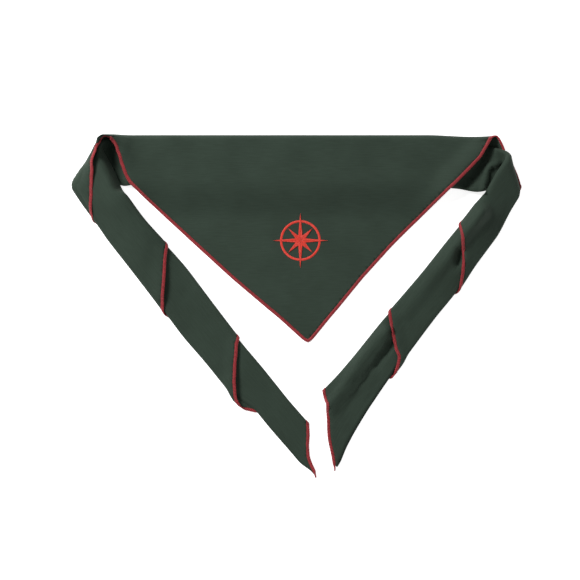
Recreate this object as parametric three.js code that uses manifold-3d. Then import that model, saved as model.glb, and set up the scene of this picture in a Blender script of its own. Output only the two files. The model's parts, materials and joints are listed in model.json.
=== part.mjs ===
// A triangular neckerchief, rolled from its long side and laid flat with both tails folded down.
//
// One triangle of cloth is rolled seven turns from its long side into a flat neck band. The last turn
// hangs in front of the band as the flap, with its point down. At each end the band folds over itself
// and runs on as a tail, so the slanted short sides of the triangle cross the tails as stripes.
// The cloth is described flat, as s along the long side and h up towards the point, and one function
// folds every flat place to where it lies. Millimetres, +Z up, +Y towards the top fold.
import * as THREE from "three";
import { mergeVertices } from "three/addons/utils/BufferGeometryUtils.js";
import Module from "manifold-3d";

const wasm = await Module();
wasm.setup();

// Flat cloth
const longSide = 1230;
const flapDrop = 207;
const clothWall = 1.0;
const turns = 7;

// Overlocked edging along both short sides
const edgingWidth = 3.3;
const edgingThickness = 1.0;
const edgingLift = 0.15;
const rubGap = 0.15;
const threadTail = 4;

// The roll: straight width of each turn, and the clearance between its layers
const turnWidth = 41;
const clearance = 0.6;

// How far below the bend of the flap it comes down from the top of the roll to the surface
const flapSlope = 44;

// The embroidered compass rose on the flap: a star of long and short points over a ring
const roseAcross = 58;
const roseThickness = 0.8;
const roseBelowTopFold = 105;
const roseLeftOfPoint = 8;
const rosePoints = 8;
const roseShortPoint = 0.62;
const roseHollow = 0.2;
const roseRing = 0.74;
const roseRingWidth = 2.4;
const ringSteps = 16;

// How the band bends over at each corner and comes down to the surface
const cornerRise = 1.2;
const corners = {
  left: { bendStart: 218, lean: 26.5, radius: 7.5, descent: 150 },
  right: { bendStart: 201, lean: 26.5, radius: 7, descent: 150 },
};

// The cut edge of each short side, from the tip to the point of the flap: how many turns are left at
// that place, and its share of the long side from the point
const hemTable = {
  columns: ["fold", "share"],
  left: [
    [0, 0.5234], [0.3, 0.506], [1, 0.4825], [2, 0.4337], [2.35, 0.4132], [3, 0.389], [4, 0.3341],
    [4.35, 0.316], [5, 0.2886], [6, 0.2345], [6.3, 0.21], [7, 0.1915], [7.3, 0.1393], [7.55, 0.0916],
    [8, 0],
  ],
  right: [
    [0, 0.4766], [0.3, 0.459], [1, 0.4268], [2, 0.3773], [2.3, 0.3627], [3, 0.339], [4, 0.2898],
    [4.3, 0.2694], [5, 0.2443], [6, 0.1829], [7, 0.1565], [7.3, 0.1105], [7.55, 0.068], [8, 0],
  ],
};

// How far each edge of a tail stands in from the full width of the roll, as shares of a turn's width,
// at shares of the tail's length from the corner to the tip
const tailOutline = {
  columns: ["along", "outer", "inner"],
  left: [
    [-0.1, 0, 0], [0.02, 0.02, 0.02], [0.08, -0.015, 0.085], [0.16, -0.105, 0.23], [0.24, -0.165, 0.264],
    [0.32, -0.152, 0.202], [0.52, -0.161, 0.133], [0.62, -0.102, 0.126], [0.72, -0.062, 0.076],
    [0.8, 0.148, 0.052], [0.95, 0.182, 0.03], [1, 0.306, 0.03],
  ],
  right: [
    [-0.3, 0, 0], [-0.13, -0.1, 0], [-0.05, -0.15, 0.2], [0.02, -0.1, 0.404], [0.16, -0.156, 0.473],
    [0.24, -0.265, 0.475], [0.42, -0.329, 0.436], [0.62, -0.306, 0.32], [0.8, -0.38, 0.25],
    [0.95, -0.579, 0.14], [1, -0.622, 0.1],
  ],
};

// Where the hem has sprung away from its even fold, as shares of a turn's width: outward is away from
// the middle of the neck, upward towards its top fold, and reach is how far into the cloth
const looseHem = {
  columns: ["fold", "outward", "upward", "lift", "reach"],
  left: [
    [2, 0, 0, 0, 0.29], [2.2, 0, 0, 0.08, 0.29], [2.8, 0, 0, 0.03, 0.29], [2.95, 0, 0, 0, 0.29],
    [4.05, 0, 0, 0, 0.29], [4.2, 0, 0, 0.05, 0.29], [4.8, 0, 0, 0.04, 0.29], [4.95, 0, 0, 0, 0.29],
    [6, 0, 0, 0, 0.24], [6.25, -0.14, 0, 0.12, 0.29], [6.5, -0.1, 0, 0.18, 0.39],
    [6.7, 0.06, 0.17, 0.2, 0.39], [6.9, 0.06, 0.24, 0.2, 0.49], [7, -0.06, 0.26, 0.2, 0.73],
    [7.06, -0.28, 0.22, 0.25, 1.07], [7.1, -0.38, 0.1, 0.2, 1.07], [7.15, -0.25, -0.02, 0.12, 1.07],
    [7.25, -0.02, -0.02, 0.03, 1.07], [7.35, 0, 0, 0, 1.07],
  ],
  right: [
    [2, 0, 0, 0, 0.29], [2.3, 0, 0, 0.05, 0.29], [2.8, 0, 0, 0.04, 0.29], [2.95, 0, 0, 0, 0.29],
    [4.05, 0, 0, 0, 0.29], [4.2, 0, 0, 0.04, 0.29], [4.8, 0, 0, 0.03, 0.29], [4.95, 0, 0, 0, 0.29],
  ],
};

// Above the loose hem the roll's top fold holds the cloth: height of the hold, and over what height
const looseTop = 28.5;
const looseRoom = 14.8;

// Where the whole stack of layers is drawn sideways: the place as shares of the long side from the
// middle of the neck, the pull and how far it reaches as shares of a turn's width
const stackPulls = {
  left: [
    { at: [-0.195, -0.028], pull: [-0.073, 0.03], reach: 1.22 },
    { at: [-0.159, -0.023], pull: [0, -0.073], reach: 0.39 },
    { at: [0.001, -0.248], pull: [0.088, 0], reach: 1.46 },
  ],
  right: [
    { at: [0.164, 0.007], pull: [0.024, 0.073], reach: 0.61 },
    { at: [0.146, -0.023], pull: [0, -0.098], reach: 0.585 },
    { at: [0.016, -0.225], pull: [-0.112, 0], reach: 1.46 },
  ],
};

// Layers of the roll are this far apart, so the edging of one lies clear on the next
const layerPitch = clothWall / 2 + edgingThickness / 2 + clearance;

// Height up the flat cloth at which each turn's straight stretch starts and ends
const foldRadius = (fold) => (fold / 2) * layerPitch;
const turnStart = [0];
for (let fold = 1; fold <= turns; fold += 1) {
  turnStart.push(turnStart[fold - 1] + turnWidth + Math.PI * foldRadius(fold));
}
const turnEnd = turnStart.map((start, turn) => start + (turn === turns ? flapDrop : turnWidth));
const clothHeight = turnEnd[turns];

const clamp01 = (x) => Math.min(1, Math.max(0, x));
const ease = (x) => clamp01(x) ** 2 * (3 - 2 * clamp01(x));
const mix = (from, to, share) => from + (to - from) * share;

// A table's column as a smooth function of its first column, which never overshoots the rows
function smoothColumn(table, side, name) {
  const keys = table[side].map((row) => row[0]);
  const values = table[side].map((row) => row[table.columns.indexOf(name)]);
  const steps = values.slice(1).map((value, i) => (value - values[i]) / (keys[i + 1] - keys[i]));
  const slopes = values.map((_, i) => {
    const [before, after] = [steps[i - 1] ?? 0, steps[i] ?? 0];
    return before * after > 0 ? (2 * before * after) / (before + after) : 0;
  });
  return (at) => {
    let next = 1;
    while (next < keys.length - 1 && keys[next] < at) next += 1;
    const width = keys[next] - keys[next - 1];
    const t = clamp01((at - keys[next - 1]) / width);
    const start = (1 + 2 * t) * values[next - 1] + t * width * slopes[next - 1];
    return (1 - t) ** 2 * start + ease(t) * values[next] - t * t * (1 - t) * width * slopes[next];
  };
}

function smoothColumns(table, side) {
  return Object.fromEntries(table.columns.slice(1).map((name) => [name, smoothColumn(table, side, name)]));
}
const outlineOf = { left: smoothColumns(tailOutline, "left"), right: smoothColumns(tailOutline, "right") };
const looseOf = { left: smoothColumns(looseHem, "left"), right: smoothColumns(looseHem, "right") };

// Height up the flat cloth of a count of turns left: whole counts are the middles of the folds
const foldLine = [0];
for (let fold = 1; fold <= turns; fold += 1) foldLine.push((turnEnd[fold - 1] + turnStart[fold]) / 2);
foldLine.push(clothHeight);

function heightAtFold(fold) {
  const low = Math.min(turns, Math.floor(fold));
  return mix(foldLine[low], foldLine[low + 1], fold - low);
}

// The hem of one side in the flat, from the tip to the point of the flap
function hemLine(side) {
  return hemTable[side].map(([fold, share]) => ({ fold, along: share * longSide, h: heightAtFold(fold) }));
}
const hemLines = { left: hemLine("left"), right: hemLine("right") };

// The hem's place along the band at a height, and the reverse
function hemAlong(side, h) {
  const line = hemLines[side];
  let next = 1;
  while (next < line.length - 1 && line[next].h < h) next += 1;
  const [from, to] = [line[next - 1], line[next]];
  return mix(from.along, to.along, (h - from.h) / (to.h - from.h));
}

function hemHeight(side, along) {
  const line = hemLines[side];
  let next = 1;
  while (next < line.length - 1 && line[next].along > along) next += 1;
  const [from, to] = [line[next - 1], line[next]];
  return mix(from.h, to.h, clamp01((along - from.along) / (to.along - from.along)));
}
const crossingAt = (side, fold) => hemAlong(side, foldLine[fold]);

// How many turns are left at a place along a tail, as a number that falls steadily
function turnsLeft(side, along) {
  let turn = turns;
  while (turn > 0 && along > crossingAt(side, turn)) turn -= 1;
  if (turn === turns) return turns;
  const outer = crossingAt(side, turn);
  const inner = crossingAt(side, turn + 1);
  return turn + clamp01((outer - along) / (outer - inner));
}

// How far a place is from the straight line between two others, and at which share of it
function besideLine(x, y, fromX, fromY, toX, toY) {
  const [runX, runY] = [toX - fromX, toY - fromY];
  const share = clamp01(((x - fromX) * runX + (y - fromY) * runY) / (runX ** 2 + runY ** 2));
  return { share, distance: Math.hypot(x - fromX - share * runX, y - fromY - share * runY) };
}

// The nearest place of the hem, as its fold count and its distance; 0 on the hem and beyond it
function nearestHem(side, along, h) {
  let nearest = { fold: 0, distance: Infinity };
  const line = hemLines[side];
  for (let i = 1; i < line.length; i += 1) {
    const [from, to] = [line[i - 1], line[i]];
    const { share, distance } = besideLine(along, h, from.along, from.h, to.along, to.h);
    if (distance < nearest.distance) nearest = { fold: mix(from.fold, to.fold, share), distance };
  }
  if (h > hemHeight(side, along)) nearest.distance = 0;
  return nearest;
}

// How far the loose hem draws a place away from its even fold
function loosePull(side, along, h, y) {
  const { fold, distance } = nearestHem(side, along, h);
  const { outward, upward, lift, reach } = looseOf[side];
  const strength = ease(1 - distance / (reach(fold) * turnWidth)) * turnWidth;
  const held = clamp01((looseTop - y) / looseRoom);
  return new THREE.Vector3(outward(fold), upward(fold) * held, lift(fold)).multiplyScalar(strength);
}

// Cross-section of the roll: across is towards the top fold, front is towards the first turn's face
function rollSection(h) {
  let turn = 0;
  while (turn < turns && h >= turnStart[turn + 1]) turn += 1;
  const even = turn % 2 === 0;
  const side = even ? 1 : -1;
  if (h <= turnEnd[turn] || turn === turns) {
    const level = even ? (turn / 2) * layerPitch : (-(turn + 1) / 2) * layerPitch;
    return { across: side * (h - turnStart[turn] - turnWidth / 2), front: level };
  }
  const radius = foldRadius(turn + 1);
  const angle = (h - turnEnd[turn]) / radius;
  const centre = even ? -layerPitch / 2 : 0;
  return {
    across: side * (turnWidth / 2 + radius * Math.sin(angle)),
    front: centre + side * radius * Math.cos(angle),
  };
}

// Heights of the middle of the roll, and of the flap, above the surface
const neckMiddle = ((turns - 1) / 2) * layerPitch + clothWall / 2;
const flapTop = neckMiddle + ((turns + 1) / 2) * layerPitch;
const flapRest = edgingThickness / 2 + edgingLift;

function flapHeight(h) {
  const past = h - turnStart[turns] - turnWidth;
  return mix(flapTop, flapRest, ease(past / flapSlope));
}

// How far the tail's outline moves a place across the roll; the last turn keeps its full width
function outlineShift(side, beyond, across, h) {
  const share = beyond / (crossingAt(side, 0) - corners[side].bendStart);
  const lastTurn = clamp01((h - turnEnd[turns - 2]) / (turnStart[turns - 1] - turnEnd[turns - 2]));
  const outer = outlineOf[side].outer(share) * turnWidth;
  const inner = -outlineOf[side].inner(share) * turnWidth * (1 - lastTurn);
  return mix(outer, inner, clamp01(across / turnWidth + 0.5));
}

// Draws the whole stack of layers sideways, here and there
function drawStack(side, at) {
  for (const { at: middle, pull, reach } of stackPulls[side]) {
    const away = Math.hypot(at.x - middle[0] * longSide, at.y - middle[1] * longSide);
    const strength = ease(1 - away / (reach * turnWidth)) * turnWidth;
    at.x += pull[0] * strength;
    at.y += pull[1] * strength;
  }
  return at;
}

// Folds a flat place to where it lies
function place(s, h) {
  const side = s < 0 ? "left" : "right";
  const along = Math.abs(s);
  const corner = corners[side];
  const lean = THREE.MathUtils.degToRad(corner.lean);
  const beyond = along - corner.bendStart;
  const { across: square, front } = rollSection(h);
  const across = square + outlineShift(side, beyond, square, h);
  const depth = beyond * Math.cos(lean) + across * Math.sin(lean);
  const run = -beyond * Math.sin(lean) + across * Math.cos(lean);
  const isFlap = h > turnStart[turns];
  const lift = cornerRise * ease((beyond + turnWidth) / turnWidth);
  const middle = neckMiddle + lift;
  let reach = depth;
  let z = isFlap ? flapHeight(h) + lift : middle - front;
  const halfTurn = Math.PI * corner.radius;
  if (depth > 0) {
    const level = isFlap ? z - middle : -front;
    const angle = Math.min(depth / corner.radius, Math.PI);
    reach = (corner.radius - level) * Math.sin(angle);
    z = middle + corner.radius - (corner.radius - level) * Math.cos(angle);
  }
  if (depth > halfTurn) {
    const past = depth - halfTurn;
    reach = -past;
    const rest = (layerPitch * (turnsLeft(side, along) + 1)) / 2 + edgingThickness / 2 + edgingLift;
    const centre = mix(middle + 2 * corner.radius, rest, ease(past / corner.descent));
    z = centre + front;
  }
  const x = corner.bendStart + reach * Math.cos(lean) - run * Math.sin(lean);
  const y = reach * Math.sin(lean) + run * Math.cos(lean);
  const at = new THREE.Vector3(x, y, z).add(loosePull(side, along, h, y));
  if (side === "left") at.x = -at.x;
  return drawStack(side, at);
}

// Unit vector square to the cloth at a flat place
function squareTo(s, h) {
  const step = 0.01;
  const alongS = place(s + step, h).sub(place(s - step, h));
  const alongH = place(s, h + step).sub(place(s, h - step));
  return alongS.cross(alongH).normalize();
}

// Heights at which every column of the cloth has a corner
const foldSteps = (fold) => (fold < 4 ? 2 : 3);
const turnSteps = (turn) => (turn < turns - 1 ? 2 : 4);
const dropSteps = 5;
const pointSteps = 4;

function spread(from, to, steps) {
  return Array.from({ length: steps }, (_, step) => mix(from, to, (step + 1) / steps));
}
const flapBend = turnStart[turns] + turnWidth;
const foldHeights = [];
const rowHeights = [0];
for (let turn = 0; turn < turns; turn += 1) {
  const round = spread(turnEnd[turn], turnStart[turn + 1], foldSteps(turn + 1));
  foldHeights.push(turnEnd[turn], ...round);
  rowHeights.push(...spread(turnStart[turn], turnEnd[turn], turnSteps(turn)), ...round);
}
rowHeights.push(...spread(turnStart[turns], flapBend, turnSteps(turns)));
rowHeights.push(...spread(flapBend, flapBend + flapSlope, dropSteps));
rowHeights.push(...spread(flapBend + flapSlope, clothHeight, pointSteps));

// Places along one side at which the cloth has a column, close together where it bends over; the hem
// has a column wherever it turns, at each step round a fold and at each step down the flap
const neckStep = 60;
const tailStep = 20;
const bendStep = 6.5;
const closest = 2;

function columnPlaces(side) {
  const corner = corners[side];
  const lean = THREE.MathUtils.degToRad(corner.lean);
  const slack = (turnWidth / 2) * Math.tan(lean) + bendStep;
  const bendFrom = corner.bendStart - slack;
  const bendTo = corner.bendStart + (Math.PI * corner.radius) / Math.cos(lean) + slack;
  const wanted = foldHeights.map((h) => hemAlong(side, h));
  hemLines[side].forEach((row) => wanted.push(row.along));
  [0, ...spread(0, flapSlope, dropSteps)].forEach((past) => wanted.push(hemAlong(side, flapBend + past)));
  wanted.push(bendFrom, bendTo);
  wanted.sort((a, b) => a - b);
  const tip = wanted.pop();
  const stops = [];
  wanted.forEach((along) => {
    if (stops.length === 0 || along - stops.at(-1) > closest) stops.push(along);
  });
  stops.push(tip);
  const places = [0];
  for (let i = 1; i < stops.length; i += 1) {
    const middle = (stops[i] + stops[i - 1]) / 2;
    let widest = middle < bendFrom ? neckStep : tailStep;
    if (middle > bendFrom && middle < bendTo) widest = bendStep;
    const count = Math.max(1, Math.round((stops[i] - stops[i - 1]) / widest));
    places.push(...spread(stops[i - 1], stops[i], count));
  }
  return places;
}

// A sheet in the flat, as corners and triangles, with corners shared by their flat place
class FlatSheet {
  constructor() {
    this.corners = [];
    this.triangles = [];
    this.known = new Map();
  }

  corner(s, h) {
    const key = `${s.toFixed(4)},${h.toFixed(4)}`;
    if (!this.known.has(key)) {
      this.known.set(key, this.corners.length);
      this.corners.push([s, h]);
    }
    return this.known.get(key);
  }

  // Fills the strip between two columns, each a list of heights from the long side up
  strip(sA, heightsA, sB, heightsB) {
    let a = 0;
    let b = 0;
    while (a < heightsA.length - 1 || b < heightsB.length - 1) {
      const nextA = a + 1 < heightsA.length ? heightsA[a + 1] : Infinity;
      const nextB = b + 1 < heightsB.length ? heightsB[b + 1] : Infinity;
      const here = [this.corner(sA, heightsA[a]), this.corner(sB, heightsB[b])];
      if (nextB <= nextA) {
        b += 1;
        this.triangles.push([here[0], here[1], this.corner(sB, heightsB[b])]);
      } else {
        a += 1;
        this.triangles.push([here[0], here[1], this.corner(sA, heightsA[a])]);
      }
    }
  }
}

const rowMargin = 0.4;

function heightsUpTo(top) {
  const heights = rowHeights.filter((h) => h < top - rowMargin || h === 0);
  if (top > rowMargin) heights.push(top);
  return heights;
}

function flatCloth() {
  const sheet = new FlatSheet();
  for (const side of ["left", "right"]) {
    const places = columnPlaces(side);
    for (let i = 1; i < places.length; i += 1) {
      const near = heightsUpTo(hemHeight(side, places[i - 1]));
      const far = heightsUpTo(hemHeight(side, places[i]));
      if (side === "left") sheet.strip(-places[i], far, -places[i - 1], near);
      else sheet.strip(places[i - 1], near, places[i], far);
    }
  }
  return sheet;
}

function meshGeometry(positions, triangles) {
  const geometry = new THREE.BufferGeometry();
  geometry.setAttribute("position", new THREE.Float32BufferAttribute(positions, 3));
  geometry.setIndex(triangles);
  geometry.computeVertexNormals();
  return geometry;
}

// Gives a flat sheet its thickness and folds it: two faces and a wall round the rim
function foldedSolid(sheet, low, high) {
  const positions = [];
  const faces = [];
  const count = sheet.corners.length;
  for (const level of [high, low]) {
    for (const [s, h] of sheet.corners) {
      positions.push(...place(s, h).addScaledVector(squareTo(s, h), level).toArray());
    }
  }
  const rim = new Map();
  for (const [a, b, c] of sheet.triangles) {
    faces.push(a, b, c, count + a, count + c, count + b);
    for (const [from, to] of [[a, b], [b, c], [c, a]]) {
      if (rim.has(`${to},${from}`)) rim.delete(`${to},${from}`);
      else rim.set(`${from},${to}`, [from, to]);
    }
  }
  for (const [from, to] of rim.values()) {
    faces.push(from, count + from, count + to, from, count + to, to);
  }
  return meshGeometry(positions, faces);
}

// Heights at which the edging, as wide as it is, has left the round of a fold
const besideFolds = [];
for (let fold = 1; fold <= turns; fold += 1) {
  const start = turnEnd[fold - 1] - clearance - edgingWidth;
  const end = turnStart[fold] + clearance + edgingWidth;
  besideFolds.push(start, mix(start, turnEnd[fold - 1], 0.5), mix(turnStart[fold], end, 0.5), end);
}

// The hem from the left tip round the point of the flap to the right tip, in the flat
function hemPath() {
  const stations = [];
  for (const side of ["left", "right"]) {
    const places = [...columnPlaces(side), ...besideFolds.map((h) => hemAlong(side, h))];
    places.sort((a, b) => a - b);
    const apart = places.filter((along, i) => i > 0 && along - places[i - 1] > rowMargin);
    const half = apart.map((along) => [along, hemHeight(side, along)]);
    const [tip, tail] = hemLines[side];
    const rise = Math.atan2(tail.h, tip.along - tail.along);
    half.push([tip.along + threadTail * Math.cos(rise), -threadTail * Math.sin(rise)]);
    if (side === "left") {
      half.reverse().forEach(([along, h]) => stations.push([-along, h]));
      stations.push([0, clothHeight]);
    } else {
      half.forEach(([along, h]) => stations.push([along, h]));
    }
  }
  return stations;
}

// Section of the edging: how far out from the cloth's edge, and how far to each face
const edgingBevel = 0.28;
const edgingSection = [
  { out: 0, face: 0 },
  { out: edgingBevel, face: 1 },
  { out: 1 - edgingBevel, face: 1 },
  { out: 1, face: 0 },
  { out: 1 - edgingBevel, face: -1 },
  { out: edgingBevel, face: -1 },
];

function edgingGeometry() {
  const path = hemPath().map(([s, h]) => new THREE.Vector2(s, h));
  const positions = [];
  const faces = [];
  path.forEach((at, i) => {
    const before = path[Math.max(i - 1, 0)];
    const after = path[Math.min(i + 1, path.length - 1)];
    const into = at.clone().sub(before).normalize();
    const onwards = after.clone().sub(at).normalize();
    const heading = into.add(onwards).normalize();
    const outward = new THREE.Vector2(-heading.y, heading.x);
    for (const { out, face } of edgingSection) {
      const spot = at.clone().addScaledVector(outward, clearance + out * edgingWidth);
      const lies = place(spot.x, spot.y);
      lies.addScaledVector(squareTo(spot.x, spot.y), (face * edgingThickness) / 2);
      positions.push(...lies.toArray());
    }
  });
  const ring = edgingSection.length;
  for (let i = 0; i + 1 < path.length; i += 1) {
    for (let k = 0; k < ring; k += 1) {
      const here = i * ring + k;
      const next = i * ring + ((k + 1) % ring);
      faces.push(here, here + ring, next + ring, here, next + ring, next);
    }
  }
  const last = (path.length - 1) * ring;
  for (let k = 1; k + 1 < ring; k += 1) {
    faces.push(0, k, k + 1);
    faces.push(last, last + k + 1, last + k);
  }
  return meshGeometry(positions, faces);
}

// The rose in the flat, as the union of an eight-pointed star and a ring, then laid on the flap
function roseOutline() {
  const star = new THREE.Shape();
  const half = roseAcross / 2;
  for (let i = 0; i < rosePoints * 2; i += 1) {
    const angle = (i * Math.PI) / rosePoints;
    const point = i % 4 === 0 ? 1 : roseShortPoint;
    const radius = half * (i % 2 === 0 ? point : roseHollow);
    const spot = [radius * Math.sin(angle), radius * Math.cos(angle)];
    if (i === 0) star.moveTo(...spot);
    else star.lineTo(...spot);
  }
  star.closePath();
  const ring = new THREE.Shape();
  ring.absarc(0, 0, half * roseRing, 0, Math.PI * 2);
  const hollow = new THREE.Path();
  hollow.absarc(0, 0, half * roseRing - roseRingWidth, 0, Math.PI * 2);
  ring.holes.push(hollow);
  return [star, ring];
}

function solidOf(geometry) {
  const bare = geometry.clone();
  bare.deleteAttribute("normal");
  bare.deleteAttribute("uv");
  const merged = mergeVertices(bare);
  return new wasm.Manifold(new wasm.Mesh({
    numProp: 3,
    vertProperties: merged.attributes.position.array,
    triVerts: new Uint32Array(merged.index.array),
  }));
}

// The edging with a gap wherever it would rub on the cloth
function clearedEdging() {
  const level = clothWall / 2 + rubGap;
  const cleared = solidOf(edgingGeometry()).subtract(solidOf(foldedSolid(flatCloth(), -level, level)));
  const largest = cleared.decompose().reduce((a, b) => (a.volume() > b.volume() ? a : b));
  const { vertProperties, triVerts } = largest.getMesh();
  return meshGeometry(Array.from(vertProperties), Array.from(triVerts));
}

function roseGeometry() {
  const layer = { depth: roseThickness, bevelEnabled: false, curveSegments: ringSteps };
  const [star, ring] = roseOutline().map((shape) => solidOf(new THREE.ExtrudeGeometry(shape, layer)));
  const flat = star.add(ring).getMesh();
  const positions = [];
  for (let i = 0; i < flat.vertProperties.length; i += flat.numProp) {
    const [x, y, z] = flat.vertProperties.slice(i, i + 3);
    const s = x - roseLeftOfPoint;
    const h = turnStart[turns] + roseBelowTopFold - y;
    const level = clothWall / 2 + clearance + z;
    positions.push(...place(s, h).addScaledVector(squareTo(s, h), -level).toArray());
  }
  return meshGeometry(positions, Array.from(flat.triVerts));
}

const clothFinish = new THREE.MeshStandardMaterial({ color: "#36433a", roughness: 0.9, metalness: 0 });
const edgingFinish = new THREE.MeshStandardMaterial({ color: "#b0363a", roughness: 0.75, metalness: 0 });
const roseFinish = new THREE.MeshStandardMaterial({ color: "#e8432e", roughness: 0.6, metalness: 0 });

function named(name, geometry, material) {
  const mesh = new THREE.Mesh(geometry, material);
  mesh.name = name;
  return mesh;
}

const neckerchief = new THREE.Group();
const cloth = foldedSolid(flatCloth(), -clothWall / 2, clothWall / 2);
neckerchief.add(named("cloth", cloth, clothFinish));
neckerchief.add(named("edging", clearedEdging(), edgingFinish));
neckerchief.add(named("compass_rose", roseGeometry(), roseFinish));

// The middle of the footprint stands at the origin
const footprint = new THREE.Box3().setFromObject(neckerchief);
const centre = footprint.getCenter(new THREE.Vector3());
neckerchief.position.set(-centre.x, -centre.y, -footprint.min.z);

export default neckerchief;
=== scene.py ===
import json
import math

import bpy
import numpy as np
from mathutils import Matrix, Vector


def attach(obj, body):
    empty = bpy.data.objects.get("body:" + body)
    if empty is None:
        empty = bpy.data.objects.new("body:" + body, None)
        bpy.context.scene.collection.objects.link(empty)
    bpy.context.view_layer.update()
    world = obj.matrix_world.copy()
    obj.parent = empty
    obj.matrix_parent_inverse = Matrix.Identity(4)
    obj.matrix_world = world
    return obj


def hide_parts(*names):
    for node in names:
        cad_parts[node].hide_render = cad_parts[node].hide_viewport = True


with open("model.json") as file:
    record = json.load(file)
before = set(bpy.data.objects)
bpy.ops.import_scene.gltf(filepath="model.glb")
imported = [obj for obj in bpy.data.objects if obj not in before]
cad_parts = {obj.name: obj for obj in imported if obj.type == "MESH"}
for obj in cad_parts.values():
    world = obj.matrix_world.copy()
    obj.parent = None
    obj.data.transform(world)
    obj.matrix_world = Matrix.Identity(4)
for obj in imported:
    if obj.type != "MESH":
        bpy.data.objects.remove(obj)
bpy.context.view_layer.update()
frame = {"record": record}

# Camera
# The photograph looks straight down on the cloth, from far enough that its height hardly shows.
# The origin of the folding, the neck's middle on the surface, is the record's one mount, and the
# photograph's middle is given in millimetres from there.
MM = 0.001
scene = bpy.context.scene
fold_origin = np.array(frame["record"]["mounts"][0]["pos_m"]) / MM
photo_middle = Vector((-18.9, -136.7))
view_middle = (photo_middle + Vector(fold_origin[:2])) * MM
view_width = 609 * MM
view_lens = 150
view_sensor = 36
view_level = 12 * MM
view_far_end = 20

camera_data = bpy.data.cameras.new("camera")
camera_data.lens = view_lens
camera_data.sensor_width = view_sensor
camera_data.clip_end = view_far_end
camera = bpy.data.objects.new("camera", camera_data)
camera.location = (*view_middle, view_level + view_width * view_lens / view_sensor)
scene.collection.objects.link(camera)
scene.camera = camera

# Light and floor
# A big soft light from the upper left, a weak one from the lower right, over a white table.
scene.view_settings.view_transform = "Standard"
world = bpy.data.worlds.new("studio")
scene.world = world
world.use_nodes = True
world.node_tree.nodes["Background"].inputs["Color"].default_value = (1, 1, 1, 1)
world.node_tree.nodes["Background"].inputs["Strength"].default_value = 0.3


def soft_light(name, place, size, power):
    data = bpy.data.lights.new(name, "AREA")
    data.shape = "DISK"
    data.size = size
    data.energy = power
    light = bpy.data.objects.new(name, data)
    light.location = place
    light.rotation_euler = (-Vector(place)).to_track_quat("-Z", "Y").to_euler()
    scene.collection.objects.link(light)


soft_light("key_light", place=(-1.2, 1.0, 1.3), size=0.7, power=53)
soft_light("fill_light", place=(1.3, -0.8, 1.7), size=1.2, power=8)

floor_reach = 4
floor_drop = 0.1 * MM
floor_corners = [(x * floor_reach, y * floor_reach, 0) for x, y in ((-1, -1), (1, -1), (1, 1), (-1, 1))]
floor_mesh = bpy.data.meshes.new("floor")
floor_mesh.from_pydata(floor_corners, [], [(0, 1, 2, 3)])
floor = bpy.data.objects.new("floor", floor_mesh)
floor.location.z = -floor_drop
scene.collection.objects.link(floor)


def linear(hex_colour):
    """The linear colour, with alpha, of an sRGB hex code."""
    channels = [int(hex_colour[i:i + 2], 16) / 255 for i in (1, 3, 5)]
    return (*[c / 12.92 if c <= 0.04045 else ((c + 0.055) / 1.055) ** 2.4 for c in channels], 1)


def add_node(tree, kind, links=(), **settings):
    """Adds a node: settings are its properties or, by name, its inputs, and links are (input, socket)."""
    node = tree.nodes.new(kind)
    for name, value in settings.items():
        if hasattr(node, name):
            setattr(node, name, value)
    for name, value in settings.items():
        if not hasattr(node, name):
            node.inputs[name.replace("_", " ")].default_value = value
    for name, socket in links:
        tree.links.new(socket, node.inputs[name])
    return node


# A white table top with a matt surface: it shows soft shadows and no reflections
floor_paper = bpy.data.materials.new("white_matt_table")
floor_paper.use_nodes = True
paper = floor_paper.node_tree.nodes["Principled BSDF"]
paper.inputs["Base Color"].default_value = linear("#DCDCDC")
paper.inputs["Roughness"].default_value = 0.95
paper.inputs["Specular IOR Level"].default_value = 0.1
paper.inputs["Emission Color"].default_value = (1, 1, 1, 1)
paper.inputs["Emission Strength"].default_value = 0.8
floor_mesh.materials.append(floor_paper)

# Cloth
# A triangle of dark green plain-weave cotton, rolled seven turns from its long side and pressed flat.
# The last turn hangs in front as the flap; at each end the roll folds over itself and runs on as a
# tail. Flat places are s along the long side and h up to the point, in millimetres, as in the CAD.
long_side = 1230
flap_drop = 207
turns = 7
turn_width = 41
layer_pitch = 1.6
solid_thickness = 1
neck_middle = (turns - 1) / 2 * layer_pitch + solid_thickness / 2
flap_rest = 0.8
flap_slope = 44
corner_rise = 1.2
# Where the band folds over itself: its place, lean and radius, and how sharp and how pressed it is
corners = {
    "left": {"bend_start": 218, "lean": 26.5, "radius": 10, "descent": 150,
             "sharp": 0.35, "press": 0.4, "press_top": 0.8},
    "right": {"bend_start": 201, "lean": 26.5, "radius": 8.5, "descent": 150,
              "sharp": 0.35, "press": 0.4, "press_top": 0.8},
}
bend_reach = 60
roll_dome = 3.0
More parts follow.
